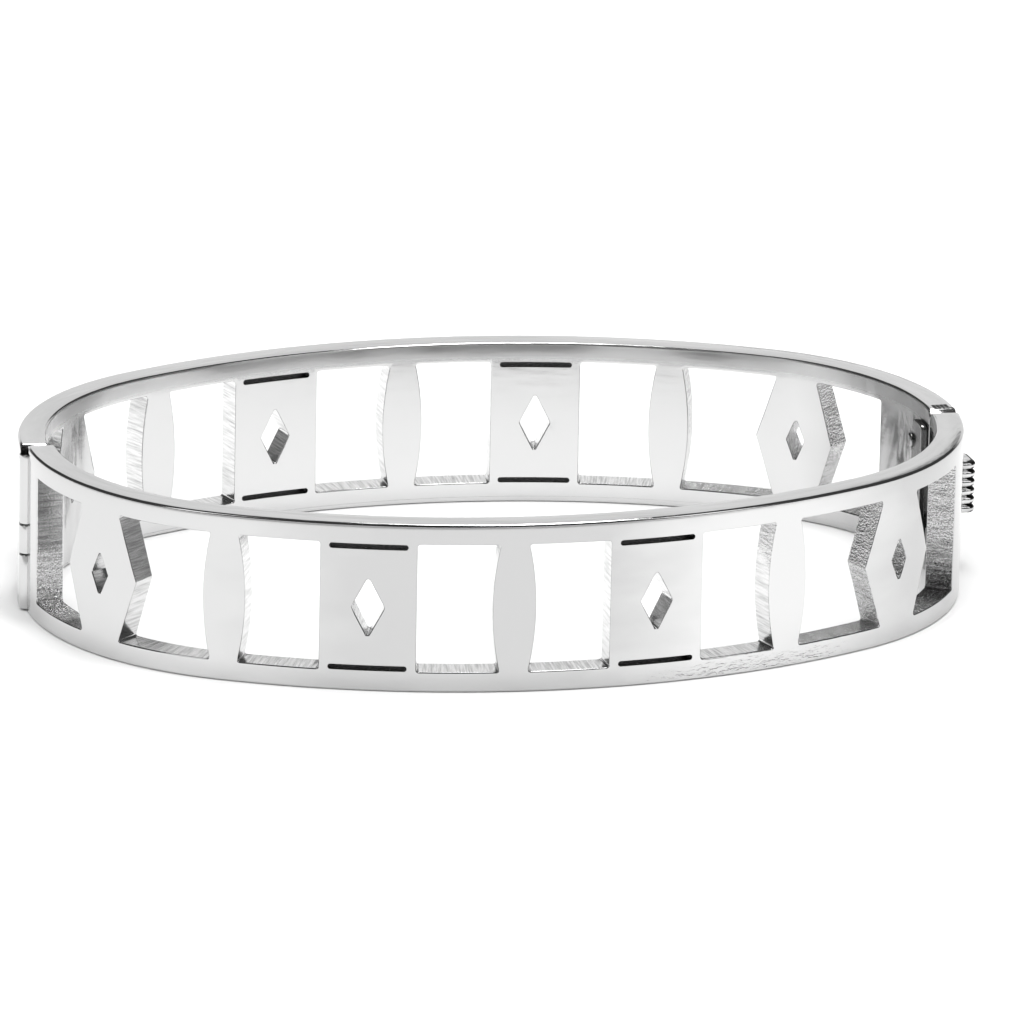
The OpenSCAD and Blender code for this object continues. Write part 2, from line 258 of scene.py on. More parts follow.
# The inner faces are tumbled, not buffed: they reflect in waves, deepest beside the hinge and the
# clasp, and roll over towards the upper rim
def tumbledSteel():
    material, tree, shader = newMaterial("tumbledSteel", {"Metallic": 1.0})
    # painted reflection: the colour is darker beside the clasp and lighter beside the hinge
    stops = [(0.13, "#B2B2B2"), (0.22, "#D2D2D2"), (0.9, "#D2D2D2"), (0.96, "#F6F6F6")]
    tint = addNode(tree, "ShaderNodeValToRGB", {"stops": stops}, [("Fac", alongWall(tree, 0.05))])
    stops = [(0.1, "#BCBCBC"), (0.2, "#5A5A5A"), (0.85, "#5A5A5A"), (0.94, "#FFFFFF")]
    depth = addNode(tree, "ShaderNodeValToRGB", {"stops": stops}, [("Fac", alongWall(tree))])
    waves = grain(tree, (0.35, 0.4, 0.13), 2.0, 0.5)
    waves = addNode(tree, "ShaderNodeMath", times, [(0, waves), (1, depth)])
    streaks = addNode(tree, "ShaderNodeMath", times, [(0, grain(tree, (0.25, 1.0, 1.5), 2.0)), (1, 0.03)])
    uneven = addNode(tree, "ShaderNodeValToRGB", {"stops": [(0.3, "#404040"), (0.65, "#FFFFFF")]},
                     [("Fac", grain(tree, (0.09, 0.3, 0.1), 2.0))])
    falls = crown(tree, "Z", band["height"] - 1.5, band["height"] - 0.2, 0.36)
    rolled = addNode(tree, "ShaderNodeMath", times, [(0, falls), (1, uneven)])
    rough = addNode(tree, "ShaderNodeMapRange", {"To Min": 0.13, "To Max": 0.34},
                    [("Value", shareOf(tree, "Z", band["height"] - 1.6, band["height"] - 0.8))])
    tree.links.new(rough.outputs["Result"], shader.inputs["Roughness"])
    relief = addNode(tree, "ShaderNodeMath", plus, [(0, waves), (1, streaks)])
    relief = addNode(tree, "ShaderNodeMath", plus, [(0, relief), (1, rolled)])
    setFinish(tree, shader, tint, relief, 1.0, 0.45)
    return material


# The windows' walls are left as the laser cut them: faint striations through the wall, and towards
# the ends of the band a crinkled grain of spatter that sparkles
def laserCutSteel():
    material, tree, shader = newMaterial("laserCutSteel", {"Metallic": 1.0, "Roughness": 0.2})
    # the beam's striations are about 0.1 mm apart
    lines = grain(tree, (7.0, 0.5, 7.0), 3.0)
    spatter = grain(tree, (7.5, 7.5, 7.5), 1.0)
    stops = [(0.1, "#5A5A5A"), (0.18, "#FFFFFF"), (0.3, "#FFFFFF"), (0.37, "#080808"), (0.9, "#080808"),
             (0.98, "#404040")]
    amount = addNode(tree, "ShaderNodeValToRGB", {"stops": stops}, [("Fac", alongWall(tree, 0.08))])
    low = shareOf(tree, "Z", 5.5, 1.4)
    byHinge = addNode(tree, "ShaderNodeMath", times, [(0, shareOf(tree, "X", 78.0, 81.0)), (1, low)])
    amount = addNode(tree, "ShaderNodeMath", larger, [(0, amount), (1, byHinge)])
    # painted shade: the walls beside the clasp are darkened low down
    byClasp = addNode(tree, "ShaderNodeMath", times, [(0, shareOf(tree, "X", 14.0, 9.5)), (1, low)])
    byClasp = addNode(tree, "ShaderNodeMath", times, [(0, byClasp), (1, 0.6)])
    dark = addNode(tree, "ShaderNodeMath", minus, [(0, lines), (1, byClasp)])
    stops = [(0.0, "#707070"), (0.4, "#CCCCCC"), (0.6, "#E6E6E6")]
    tint = addNode(tree, "ShaderNodeValToRGB", {"stops": stops}, [("Fac", dark)])
    crinkle = addNode(tree, "ShaderNodeMath", times, [(0, spatter), (1, amount)])
    crinkle = addNode(tree, "ShaderNodeMath", times, [(0, crinkle), (1, 1.2)])
    striations = addNode(tree, "ShaderNodeMath", times, [(0, lines), (1, 0.035)])
    relief = addNode(tree, "ShaderNodeMath", plus, [(0, striations), (1, crinkle)])
    setFinish(tree, shader, tint, relief, 1.0, 0.2)
    return material


# Slits, pockets and the seam faces get an almost black, dull steel: painted shade
def shadeSteel():
    material, tree, shader = newMaterial("shadeSteel", {"Metallic": 1.0, "Roughness": 0.55})
    spots = grain(tree, (5.0, 5.0, 5.0), 3.0)
    stops = [(0.4, "#1C1C1C"), (0.68, "#4A4A4A"), (0.8, "#BBBBBB")]
    tint = addNode(tree, "ShaderNodeValToRGB", {"stops": stops}, [("Fac", spots)])
    setFinish(tree, shader, tint, spots, 0.5, 0.1)
    return material


# Spring steel strip, cold rolled: faint lines along the strip; greyer than the band, as painted shade inside
# the wall
def rolledSteel():
    material, tree, shader = newMaterial("rolledSteel", {"Metallic": 1.0, "Roughness": 0.22})
    lines = grain(tree, (0.5, 6.0, 9.0), 3.0)
    # painted shade: the strip's greys sit below the band's
    stops = [(0.3, "#868686"), (0.7, "#A2A2A2")]
    tint = addNode(tree, "ShaderNodeValToRGB", {"stops": stops}, [("Fac", lines)])
    setFinish(tree, shader, tint, lines, 0.6, 0.008)
    return material


# The small turned parts are burnished: bright, with darker grey clouds, painted shade where they sit inside
# the clasp
def burnishedSteel():
    material, tree, shader = newMaterial("burnishedSteel", {"Metallic": 1.0, "Roughness": 0.14})
    mottle = grain(tree, (2.0, 2.0, 2.0), 3.0)
    # painted shade: these greys sit well below the band's steel
    stops = [(0.3, "#6A6A6A"), (0.6, "#A8A8A8")]
    tint = addNode(tree, "ShaderNodeValToRGB", {"stops": stops}, [("Fac", mottle)])
    setFinish(tree, shader, tint, mottle, 0.5, 0.02)
    return material


# The thumb pad is milled and polished: deep mirror ribs
def milledSteel():
    material, tree, shader = newMaterial("milledSteel", {"Metallic": 1.0, "Roughness": 0.08})
    mottle = grain(tree, (1.0, 1.5, 1.5), 3.0)
    stops = [(0.35, "#BDBDBD"), (0.65, "#D8D8D8")]
    tint = addNode(tree, "ShaderNodeValToRGB", {"stops": stops}, [("Fac", mottle)])
    setFinish(tree, shader, tint, grain(tree, (3.0, 2.0, 3.0)), 0.5, 0.03)
    return material


steels = {"polished": polishedSteel(), "tumbled": tumbledSteel(), "rim": buffedRim(),
          "laserCut": laserCutSteel(), "inShade": shadeSteel(), "rolled": rolledSteel(),
          "burnished": burnishedSteel(), "milled": milledSteel()}
bandSteels = ["polished", "tumbled", "rim", "laserCut", "inShade"]
print("materials made:", len(steels))


# Modelling helpers

def onlySelect(obj):
    if bpy.context.mode != "OBJECT":
        bpy.ops.object.mode_set(mode="OBJECT")
    bpy.ops.object.select_all(action="DESELECT")
    bpy.context.view_layer.objects.active = obj
    obj.select_set(True)


# Box between two corners
def addBox(name, low, high):
    bpy.ops.object.select_all(action="DESELECT")
    middle = [(a + b) / 2 for a, b in zip(low, high)]
    bpy.ops.mesh.primitive_cube_add(size=1, location=middle, scale=[b - a for a, b in zip(low, high)])
    obj = bpy.context.object
    obj.name = name
    bpy.ops.object.transform_apply(location=True, rotation=True, scale=True)
    return obj


# Upright cylinder from z low to z high
def addPost(name, x, y, radius, low, high):
    bpy.ops.object.select_all(action="DESELECT")
    bpy.ops.mesh.primitive_cylinder_add(vertices=roundSides, radius=radius, depth=high - low,
                                        location=(x, y, (low + high) / 2))
    obj = bpy.context.object
    obj.name = name
    bpy.ops.object.transform_apply(location=True, rotation=True, scale=True)
    return obj


# Cylinder that stands across the wall, from y low to y high
def addDisc(name, x, z, radius, low, high):
    bpy.ops.object.select_all(action="DESELECT")
    bpy.ops.mesh.primitive_cylinder_add(vertices=roundSides, radius=radius, depth=high - low,
                                        location=(x, (low + high) / 2, z), rotation=(math.pi / 2, 0, 0))
    obj = bpy.context.object
    obj.name = name
    bpy.ops.object.transform_apply(location=True, rotation=True, scale=True)
    return obj


def applyModifier(obj, kind, settings):
    onlySelect(obj)
    modifier = obj.modifiers.new(kind.lower(), kind)
    for name, value in settings.items():
        setattr(modifier, name, value)
    bpy.ops.object.modifier_apply(modifier=modifier.name)


def combine(obj, tool, operation):
    applyModifier(obj, "BOOLEAN", {"operation": operation, "object": tool, "solver": "EXACT",
                                   "material_mode": "TRANSFER"})
    bpy.data.objects.remove(tool)


def joined(pieces, name):
    onlySelect(pieces[0])
    for piece in pieces:
        piece.select_set(True)
    bpy.ops.object.join()
    pieces[0].name = name
    return pieces[0]


def selectVerts(obj, test):
    onlySelect(obj)
    bpy.ops.object.mode_set(mode="EDIT")
    bpy.ops.mesh.select_all(action="DESELECT")
    bpy.ops.object.mode_set(mode="OBJECT")
    for v in obj.data.vertices:
        v.select = test(v.co)
    bpy.ops.object.mode_set(mode="EDIT")


def selectEdges(obj, test):
    onlySelect(obj)
    bpy.ops.object.mode_set(mode="EDIT")
    bpy.ops.mesh.select_mode(type="EDGE")
    bpy.ops.mesh.select_all(action="DESELECT")
    bpy.ops.object.mode_set(mode="OBJECT")
    points = obj.data.vertices
    for e in obj.data.edges:
        e.select = test(points[e.vertices[0]].co, points[e.vertices[1]].co)
    bpy.ops.object.mode_set(mode="EDIT")


def bevelEdges(obj, test, offset, segments):
    selectEdges(obj, test)
    bpy.ops.mesh.bevel(offset=offset, segments=segments, affect="EDGES", clamp_overlap=False)
    bpy.ops.mesh.select_mode(type="VERT")
    bpy.ops.object.mode_set(mode="OBJECT")


def cutLoops(obj, axis, places):
    normal = [0, 0, 0]
    normal[axis] = 1
    onlySelect(obj)
    bpy.ops.object.mode_set(mode="EDIT")
    for place in places:
        bpy.ops.mesh.select_all(action="SELECT")
        point = [0, 0, 0]
        point[axis] = place
        bpy.ops.mesh.bisect(plane_co=point, plane_no=normal, threshold=0.0005)
    bpy.ops.object.mode_set(mode="OBJECT")


def roundEdges(obj, width, segments, angle=35):
    applyModifier(obj, "BEVEL", {"width": width, "segments": segments, "limit_method": "ANGLE",
                                 "angle_limit": math.radians(angle), "use_clamp_overlap": False,
                                 "loop_slide": False})


def setSteel(pieces, name):
    for piece in pieces:
        piece.data.materials.clear()
        piece.data.materials.append(steels[name])


# Openwork: windows through the wall, and the motifs that stand between them

openwork = {
    "railHeight": 1.4,
    "claspPost": 8.4,      # plain wall beside the clasp's seam
    "hingePost": 3.1,      # and beside the hinge's
    "pattern": ["lozenge", "spindle", "tablet", "spindle", "tablet", "spindle", "lozenge"],
    "wideHalf": 3.2,       # half width of a lozenge and a tablet
    "tipHalf": 1.7,        # and of a lozenge where it meets the rails
    "spindleHalf": 1.45,
    "spindleEnd": 0.95,    # where a spindle meets the rails
    "spindleLoops": 12,
    "slitLength": 5.2,
    "slitHeight": 0.38,
    "lozengeHole": (0.75, 1.35),    # half width, half height
    "tabletHole": (1.1, 1.9),
    "holeTip": 0.1,        # half width of a hole's blunt ends
    "lap": 0.3,            # the motifs run this far into the rails
}


# A box that grows or shrinks towards its ends: widthAt gives the half width at a height from -1 to 1
def addTapered(name, x, half, reach, y, loops, widthAt):
    middle = band["height"] / 2
    obj = addBox(name, (x - half, y[0], middle - reach), (x + half, y[1], middle + reach))
    levels = [2 * i / loops - 1 for i in range(loops + 1)]
    cutLoops(obj, 2, [middle + reach * k for k in levels[1:-1]])
    for k in levels:
        selectVerts(obj, lambda co: abs(co.z - middle - reach * k) < 0.001)
        bpy.ops.transform.resize(value=(widthAt(k) / half, 1, 1), center_override=(x, 0, middle))
    bpy.ops.object.mode_set(mode="OBJECT")
    return obj


# The motifs stand upright through the blank
def addMotif(kind, x):
    openHalf = (band["height"] - 2 * openwork["railHeight"]) / 2
    reach = openHalf + openwork["lap"]
    y = (-2 * overshoot, band["thickness"] + 2 * overshoot)
    wide = openwork["wideHalf"]
    if kind == "tablet":
        middle = band["height"] / 2
        return addBox(kind, (x - wide, y[0], middle - reach), (x + wide, y[1], middle + reach))
    if kind == "lozenge":
        tip = openwork["tipHalf"]
        return addTapered(kind, x, wide, reach, y, 2,
                          lambda k: wide - (wide - tip) * abs(k) * reach / openHalf)
    widest, end = openwork["spindleHalf"], openwork["spindleEnd"]
    return addTapered(kind, x, widest, reach, y, openwork["spindleLoops"],
                      lambda k: widest - (widest - end) * (k * reach / openHalf) ** 2)


def addLozengeHole(x, size):
    y = (-overshoot, band["thickness"] + overshoot)
    return addTapered("hole", x, size[0], size[1], y, 2,
                      lambda k: size[0] if abs(k) < 0.5 else openwork["holeTip"])


def addSlit(x, z):
    half, tall = openwork["slitLength"] / 2, openwork["slitHeight"] / 2
    slit = addBox("slit", (x - half, -overshoot, z - tall),
                  (x + half, band["thickness"] + overshoot, z + tall))
    bevelEdges(slit, lambda a, b: abs(a.y - b.y) > 1, tall * 0.999, 6)
    return slit


def motifPlaces(w):
    halves = [openwork["spindleHalf"] if kind == "spindle" else openwork["wideHalf"]
              for kind in openwork["pattern"]]
    free = halfLength(w) - openwork["claspPost"] - openwork["hingePost"] - 2 * sum(halves)
    window = free / (len(halves) + 1)
    places, x = [], openwork["claspPost"]
    for half in halves:
        places.append(x + window + half)
        x += window + 2 * half
    return places


def addOpenworkCutters(w):
    rail, height = openwork["railHeight"], band["height"]
    windows = addBox("windows", (openwork["claspPost"], -overshoot, rail),
                     (halfLength(w) - openwork["hingePost"], band["thickness"] + overshoot, height - rail))
    cutters = []
    for kind, x in zip(openwork["pattern"], motifPlaces(w)):
        combine(windows, addMotif(kind, x), "DIFFERENCE")
        if kind != "spindle":
            cutters.append(addLozengeHole(x, openwork[kind + "Hole"]))
    # the laser leaves round corners, where the windows' sides meet the rails
    bevelEdges(windows, lambda a, b: abs(a.y - b.y) > 1
               and abs(abs(a.z - height / 2) - height / 2 + rail) < 0.01, band["cornerRadius"], 4)
    return [windows] + cutters


def addSlits(w):
    tall, rail = openwork["slitHeight"] / 2, openwork["railHeight"]
    levels = (rail + tall, band["height"] - rail - tall)
    return [addSlit(x, z) for kind, x in zip(openwork["pattern"], motifPlaces(w)) if kind == "tablet"
            for z in levels]


# Recesses and marks for the clasp, and the values of the clasp's own pieces

clasp = {
    "z": 5.75,
    "skin": 0.55,          # wall left outside the tongue's recess
    "gap": 0.1,
    "tongueThickness": 0.55,
    "tongueHeight": 4.8,
    "tongueReach": 2.2,
    "tongueRoot": 3.3,
    "tongueTail": 0.5,
    "tongueRound": 0.07,
    "padWidth": 2.4,
    "padHeight": 3.7,
    "padOut": 1.65,        # past the wall's outer face
    "padAt": 1.6,          # along the wall
    "padCorner": 0.5,
    "padRibs": 6,
    "padGroove": 0.3,      # depth of the grooves between the ribs
    "padDarkFrom": 1.4,       # from the pad's inner end on, where the ribs' slopes are painted dark
    "padLevels": (0.3, 0.55, 0.8, 1.0),    # cross lines of a rib, as shares of its half height
    "tipRoom": 0.4,        # of the recess past the tongue's tip
    "rootRoom": 0.2,       # and past its tail
    "claspEdge": 0.5,      # where the file marks start
    "notches": 4,          # file marks beside the seam
    "notchRadius": 0.13,
    "notchPitch": 0.28,
    "notchLength": 0.9,
}
plate = {
    "seat": 0.03,          # gap to the wall behind it
    "thickness": 0.45,
    "from": 0.5,
    "length": 2.2,
    "low": 1.2,
    "corner": 0.35,
    "round": 0.09,
    # along the wall, height, radius
    "lobes": ((3.3, 5.75, 1.0), (2.7, 2.75, 0.65), (2.7, 8.75, 0.65)),
}
rivet = {
    "radius": 0.5,
    "head": 0.22,
    "crown": 0.15,
    "shank": 0.25,
    "bore": 0.28,
    "looseBore": 0.33,     # in the tongue, which slides a little on its rivet
    "length": 1.05,
    "middleLength": 1.45,
    "bendStep": 0.25,
}


# File marks across the rim, beside the clasp's seam
def addNotches():
    marks = []
    for i in range(clasp["notches"]):
        y = band["thickness"] / 2 + (i - (clasp["notches"] - 1) / 2) * clasp["notchPitch"]
        bpy.ops.object.select_all(action="DESELECT")
        x = clasp["claspEdge"] + clasp["notchLength"] / 2
        bpy.ops.mesh.primitive_cylinder_add(vertices=16, radius=clasp["notchRadius"],
                                            depth=clasp["notchLength"], location=(x, y, band["height"]),
                                            rotation=(0, math.pi / 2, 0))
        bpy.ops.object.transform_apply(location=True, rotation=True, scale=True)
        marks.append(bpy.context.object)
    return marks


def addClaspCutters(side):
    z, deep = clasp["z"], band["thickness"] + overshoot
    tall = (clasp["tongueHeight"] + 3 * clasp["gap"]) / 2
    if side == "front":
        reach = clasp["tongueReach"] + clasp["tipRoom"]
        return [addBox("recess", (-overshoot, clasp["skin"], z - tall), (reach, deep, z + tall))]
    root = clasp["tongueRoot"] + clasp["tongueTail"] + clasp["rootRoom"]
    padTall = clasp["padHeight"] / 2 + clasp["gap"]
    notchEnd = clasp["padAt"] + clasp["padWidth"] / 2 + clasp["gap"]
    recess = addBox("recess", (-overshoot, clasp["skin"], z - tall), (root, deep, z + tall))
    notch = addBox("notch", (-2 * overshoot, -overshoot, z - padTall),
                   (notchEnd, clasp["skin"] + clasp["gap"], z + padTall))
    combine(recess, notch, "UNION")
    wallDepth = rivet["length"] - plate["thickness"] - plate["seat"]
    bores = [addDisc("bore", x, height, rivet["bore"], band["thickness"] - wallDepth, deep)
             for x, height, _ in plate["lobes"][1:]]
    return [recess] + bores


# The barrel lies half in the wall, on the seam
def barrelDepth(w):
    return hingeX + w


def addRooms(side, w):
    gap, wide = hinge["gap"], hinge["radius"] + hinge["gap"]
    spans = [(hinge["midLow"] - gap, hinge["midHigh"] + gap)]
    if side == "front":
        spans = [(-overshoot, hinge["midLow"]), (hinge["midHigh"], hinge["top"] + gap)]
    return [addPost("room", halfLength(w), barrelDepth(w), wide, low, high) for low, high in spans]


def addKnuckles(side, w):
    gap = hinge["gap"]
    spans = [(hinge["midLow"], hinge["midHigh"])]
    if side == "back":
        spans = [(hinge["low"], hinge["midLow"] - gap), (hinge["midHigh"] + gap, hinge["top"])]
    return [addPost("knuckle", halfLength(w), barrelDepth(w), hinge["radius"], low, high)
            for low, high in spans]


def setFaceSteels(obj):
    for name in bandSteels:
        obj.data.materials.append(steels[name])
    for face in obj.data.polygons:
        n = face.normal
        kind = "rim" if abs(n.z) > 0.9 else "tumbled" if n.y > 0.9 else "polished"
        # the seam faces at the halves' ends take the almost black steel: painted shade
        kind = "inShade" if abs(n.x) > 0.9 else kind
        face.material_index = bandSteels.index(kind)


def blankHalf(side, w):
    start, end = band["seamGap"] / 2, halfLength(w) - band["seamGap"] / 2
    blank = addBox(side + "Half", (start, 0, 0), (end, band["thickness"], band["height"]))
    for x, bevel in ((start, band["claspBevel"]), (end, band["hingeBevel"])):
        bevelEdges(blank, lambda a, b: abs(a.y - b.y) > 1 and abs(a.x - x) < 0.01, bevel, 1)
    setFaceSteels(blank)
    bevelEdges(blank, lambda a, b: abs(a.x - b.x) > 5 and abs(a.z - b.z) < 0.01, band["rimRound"], 4)
    return blank


# Line that the flat pieces are bent along, from a place on the wall onwards
def addBendPath(w, start):
    count = int(halfLength(w) / band["pathStep"])
    curve = bpy.data.curves.new("bendPath", "CURVE")
    curve.dimensions = "2D"
    spline = curve.splines.new("POLY")
    spline.points.add(count)
    for i in range(count + 1):
        p = wallPoint(start + (halfLength(w) - start) * i / count, w)
        spline.points[i].co = (p.x, p.y, 0, 1)
    path = bpy.data.objects.new("bendPath", curve)
    bpy.context.collection.objects.link(path)
    return path


def keepFlatPlace(obj):
    attribute = obj.data.attributes.new("flatPlace", "FLOAT_VECTOR", "POINT")
    for v in obj.data.vertices:
        attribute.data[v.index].vector = v.co


def bend(obj, w, start=0):
    keepFlatPlace(obj)
    obj.data.transform(Matrix.Translation((-start, 0, 0)))
    path = addBendPath(w, start)
    applyModifier(obj, "CURVE", {"object": path, "deform_axis": "POS_X"})
    bpy.data.objects.remove(path)


# Scales a piece to metres, smooths its shading, hands it to its moving body, and hides its CAD node
def finishPiece(obj, body, node, smoothAngle=50):
    onlySelect(obj)
    obj.data.transform(Matrix.Scale(mm, 4) @ Matrix.Translation((shift, 0, 0)))
    bpy.ops.object.shade_smooth_by_angle(angle=math.radians(smoothAngle), keep_sharp_edges=False)
    applyModifier(obj, "WEIGHTED_NORMAL", {"mode": "FACE_AREA", "weight": 50, "keep_sharp": True})
    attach(obj, body)
    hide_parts(node)
    print(node, "has", len(obj.data.polygons), "faces")


def buildHalf(side):
    w = halfWidths[side]
    half = blankHalf(side, w)
    cutters = addOpenworkCutters(w) + addClaspCutters(side)
    setSteel(cutters, "laserCut")
    rooms = addRooms(side, w)
    # painted shade: the hinge's pockets are lined with the almost black steel
    setSteel(rooms, "inShade")
    combine(half, joined(cutters + rooms, "cutters"), "DIFFERENCE")
    roundEdges(half, band["edgeRound"], 3)
    for knuckle in addKnuckles(side, w):
        setSteel([knuckle], "polished")
        roundEdges(knuckle, hinge["edgeRound"], 2)
        combine(half, knuckle, "UNION")
    boreTop = hinge["top"] - 2 * hinge["gap"]
    bore = addPost("bore", halfLength(w), barrelDepth(w), hinge["boreRadius"], -overshoot, boreTop)
    slits = addSlits(w) + [bore]
    # painted shade: the slits and the pin's bore are lined with the almost black steel
    setSteel(slits, "inShade")
    if side == "back":
        marks = addNotches()
        setSteel(marks, "laserCut")
        slits += marks
    combine(half, joined(slits, "slits"), "DIFFERENCE")
    cutLoops(half, 0, [band["bendStep"] * i for i in range(1, int(halfLength(w) / band["bendStep"]))])
    # lines in the rails keep the shading of the windows' corners to the corners
    nearWindow = openwork["railHeight"] - band["edgeRound"] - band["shadeGap"]
    cutLoops(half, 2, [nearWindow, band["height"] - nearWindow])
    bend(half, w)
    if side == "front":
        onlySelect(half)
        half.data.transform(Matrix.Scale(-1, 4, (0, 1, 0)))
        bpy.ops.object.mode_set(mode="EDIT")
        bpy.ops.mesh.select_all(action="SELECT")
        bpy.ops.mesh.flip_normals()
        bpy.ops.object.mode_set(mode="OBJECT")
    finishPiece(half, side, side + "_half")


buildHalf("back")
buildHalf("front")


# Hinge pin

def buildPin():
    high = hinge["top"] - 3 * hinge["gap"]
    pin = addPost("hingePin", hingeX, 0, hinge["pinRadius"], hinge["low"], high)
    setSteel([pin], "burnished")
    roundEdges(pin, hinge["edgeRound"], 3)
    keepFlatPlace(pin)
    finishPiece(pin, "back", "hinge_pin")


buildPin()


# Clasp

def bendStrip(obj, low, high, start):
    count = int((high - low) / rivet["bendStep"])
    cutLoops(obj, 0, [low + rivet["bendStep"] * (i + 0.5) for i in range(count)])
    bend(obj, halfWidth, start)


def buildPlate():
    low = band["thickness"] + plate["seat"]
    high = low + plate["thickness"]
    far = plate["from"] + plate["length"]
    top = band["height"] - plate["low"]
    piece = addBox("claspPlate", (plate["from"], low, plate["low"]), (far, high, top))
    bevelEdges(piece, lambda a, b: abs(a.y - b.y) > 0.1, plate["corner"], 4)
    for x, z, radius in plate["lobes"]:
        combine(piece, addDisc("lobe", x, z, radius, low, high), "UNION")
    for x, z, _ in plate["lobes"]:
        combine(piece, addDisc("bore", x, z, rivet["bore"], low - overshoot, high + overshoot), "DIFFERENCE")
    setSteel([piece], "rolled")
    roundEdges(piece, plate["round"], 3)
    bendStrip(piece, plate["from"], max(x + radius for x, _, radius in plate["lobes"]), 0)
    finishPiece(piece, "back", "clasp_plate")


def buildTongue():
    low = clasp["skin"] + clasp["gap"]
    high = low + clasp["tongueThickness"]
    near, far = -clasp["tongueReach"], clasp["tongueRoot"] + clasp["tongueTail"]
    tall = clasp["tongueHeight"] / 2
    piece = addBox("claspTongue", (near, low, clasp["z"] - tall), (far, high, clasp["z"] + tall))
    bevelEdges(piece, lambda a, b: abs(a.y - b.y) > 0.1, plate["corner"], 4)
    spare = overshoot / 2
    bore = addDisc("bore", clasp["tongueRoot"], clasp["z"], rivet["looseBore"], low - spare, high + spare)
    combine(piece, bore, "DIFFERENCE")
    setSteel([piece], "rolled")
    roundEdges(piece, clasp["tongueRound"], 2)
    bendStrip(piece, near, far, near - spare)
    finishPiece(piece, "catch", "clasp_tongue")


# A block with round corners, drawn in between its ribs on all three free sides
def buildPad():
    endR = endRadius(halfWidth)
    near, far = endR - clasp["skin"] - clasp["gap"] + plate["seat"], endR + clasp["padOut"]
    wide, tall = clasp["padWidth"] / 2, clasp["padHeight"] / 2
    pad = addBox("thumbPad", (near, -wide, -tall), (far, wide, tall))
    bevelEdges(pad, lambda a, b: abs(a.z - b.z) > 0.5, clasp["padCorner"], 8)
    half = tall / clasp["padRibs"]
    levels = []
    for i in range(clasp["padRibs"]):
        middle = (2 * i + 1) * half - tall
        levels.append((middle, 0))
        for share in clasp["padLevels"]:
            inset = clasp["padGroove"] * (1 - math.sqrt(1 - share ** 2))
            levels += [(middle - half * share, inset), (middle + half * share, inset)]
    cutLoops(pad, 2, sorted({round(z, 4) for z, _ in levels if abs(z) < tall - 0.001}))
    done = set()
    for z, inset in levels:
        if inset and round(z, 4) not in done:
            done.add(round(z, 4))
            selectVerts(pad, lambda co: abs(co.z - z) < 0.001)
            bpy.ops.transform.resize(value=(1 - inset / (far - near), 1 - inset / wide, 1),
                                     center_override=(near, 0, z))
    bpy.ops.object.mode_set(mode="OBJECT")
    setSteel([pad], "milled")
    # the ribs' slopes away from the wall take the almost black steel: painted dark reflection of the dark
    # room
    pad.data.materials.append(steels["inShade"])
    for face in pad.data.polygons:
        face.material_index = int(abs(face.normal.z) > 0.45 and face.center.x > near + clasp["padDarkFrom"])
    keepFlatPlace(pad)
    turn = Matrix.Rotation(clasp["padAt"] / endR, 4, "Z")
    pad.data.transform(Matrix.Translation((halfWidth - endR, 0, clasp["z"])) @ turn)
    finishPiece(pad, "catch", "thumb_pad")


# Rivet with a low crowned head, along -y from the head's seat
def addRivet():
    head = addDisc("rivet", 0, 0, rivet["radius"], 0, rivet["head"])
    bevelEdges(head, lambda a, b: a.y > rivet["head"] * 0.9 and b.y > rivet["head"] * 0.9, rivet["crown"], 4)
    combine(head, addDisc("shank", 0, 0, rivet["shank"], -rivet["length"], rivet["head"] / 2), "UNION")
    setSteel([head], "burnished")
    return head


def buildRivets():
    model = addRivet()
    names = ["clasp_rivet_mid", "clasp_rivet_low", "clasp_rivet_high"]
    for name, (x, z, _) in zip(names, plate["lobes"]):
        piece = model.copy()
        piece.data = model.data.copy()
        piece.name = name
        bpy.context.collection.objects.link(piece)
        if name == "clasp_rivet_mid":
            selectVerts(piece, lambda co: co.y < 0.01 - rivet["length"])
            bpy.ops.transform.translate(value=(0, rivet["length"] - rivet["middleLength"], 0))
            bpy.ops.object.mode_set(mode="OBJECT")
        seatDepth = band["thickness"] + plate["thickness"] + 2 * plate["seat"]
        keepFlatPlace(piece)
        # the wall's outer normal lies at this angle, and the rivet's head points against it
        angle = x / endRadius(halfWidth)
        turn = Matrix.Rotation(angle + math.pi / 2, 4, "Z")
        foot = wallPoint(x, halfWidth)
        inwards = Vector((-math.cos(angle), -math.sin(angle), 0)) * seatDepth
        piece.data.transform(Matrix.Translation(foot + inwards + Vector((0, 0, z))) @ turn)
        finishPiece(piece, "back", name)
    bpy.data.objects.remove(model)


buildPlate()
buildTongue()
buildPad()
buildRivets()


# Floor, light and camera

camera = {
    "turn": 11.17,         # degrees, of the bangle to the left
    "elevation": 17.48,
    "distance": 700.0,
    "right": 1.404,        # of the oval's centre, seen from the camera
    "up": 5.301,
    "roll": 1.155,
    "focalPixels": 10379.7,
    "imagePixels": 1024,
    "sensor": 36.0,
}
paper = {
    "size": 4.0,           # metres
    "drop": 0.00002,       # below the lower rim, in metres
    "colour": "#D4D4D4",
}


def addFloor():
    bpy.ops.object.select_all(action="DESELECT")
    bpy.ops.mesh.primitive_plane_add(size=paper["size"], location=(0, 0, -paper["drop"]))
    floor = bpy.context.object
    floor.name = "floor"
    material, _, shader = newMaterial("whitePaper", {"Roughness": 0.9, "Specular IOR Level": 0.1})
    shader.inputs["Base Color"].default_value = hexToLinear(paper["colour"])
    floor.data.materials.append(material)


# Each lamp's place seen from the camera (right, away and up, in metres), its size, and its watts
lamps = {
    "overhead": ((0.08, 0.04, 0.6), (0.32, 0.15), 1.5),
    "seamGlint": ((0.154, -0.167, 0.6), (0.12, 0.12), 0.2),
    "fill": ((0, -0.3, 0.7), (2.0, 1.6), 25),
    "panelLeft": ((-0.46, -0.42, 0.45), (0.25, 0.45), 0.5),
    "panelRight": ((0.5, -0.38, 0.45), (0.2, 0.45), 0.4),
}


